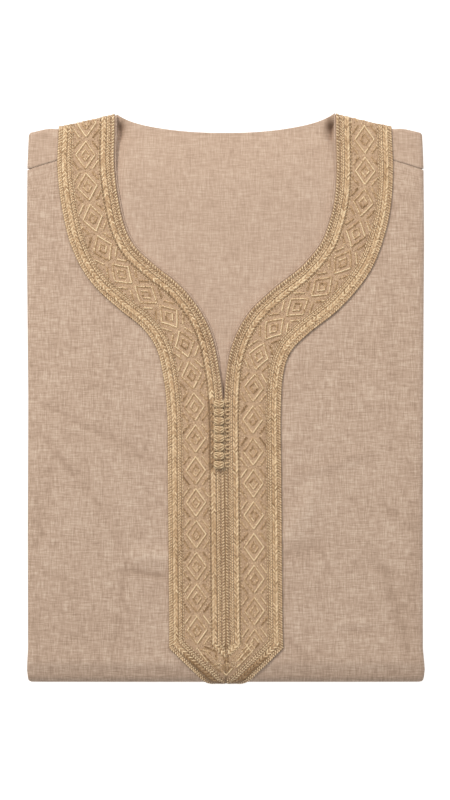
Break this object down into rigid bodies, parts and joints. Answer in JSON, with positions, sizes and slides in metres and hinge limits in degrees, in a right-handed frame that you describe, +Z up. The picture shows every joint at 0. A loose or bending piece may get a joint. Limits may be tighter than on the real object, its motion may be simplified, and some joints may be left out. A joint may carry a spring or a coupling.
{
  "type": "folded thobe",
  "caption": "Long robe folded to a flat packet, with a trimmed V neckline, pointed placket, knot buttons and cord loops.",
  "frame": {"origin": "middle of the packet's outline, on the surface that it rests on", "axes": "+Z up out of the garment's front, +Y toward the shoulders, +X to the right seen from above"},
  "size_m": [0.3015, 0.4364, 0.0281],
  "materials": {
    "cloth": "plain weave, heathered beige",
    "trim": "woven braid with raised embroidery, golden beige",
    "knot_cord": "twisted cord, golden beige"
  },
  "bodies": {
    "root": {"front_panel": "cloth", "back_panel": "cloth", "folded_layers": "cloth", "band_left": "trim", "band_right": "trim", "knot_button_1": "knot_cord", "knot_button_2": "knot_cord", "knot_button_3": "knot_cord", "knot_button_4": "knot_cord", "knot_button_5": "knot_cord", "knot_button_6": "knot_cord", "knot_button_7": "knot_cord", "knot_button_8": "knot_cord", "button_loop_1": "knot_cord", "button_loop_2": "knot_cord", "button_loop_3": "knot_cord", "button_loop_4": "knot_cord", "button_loop_5": "knot_cord", "button_loop_6": "knot_cord", "button_loop_7": "knot_cord", "button_loop_8": "knot_cord"}
  },
  "joints": []
}
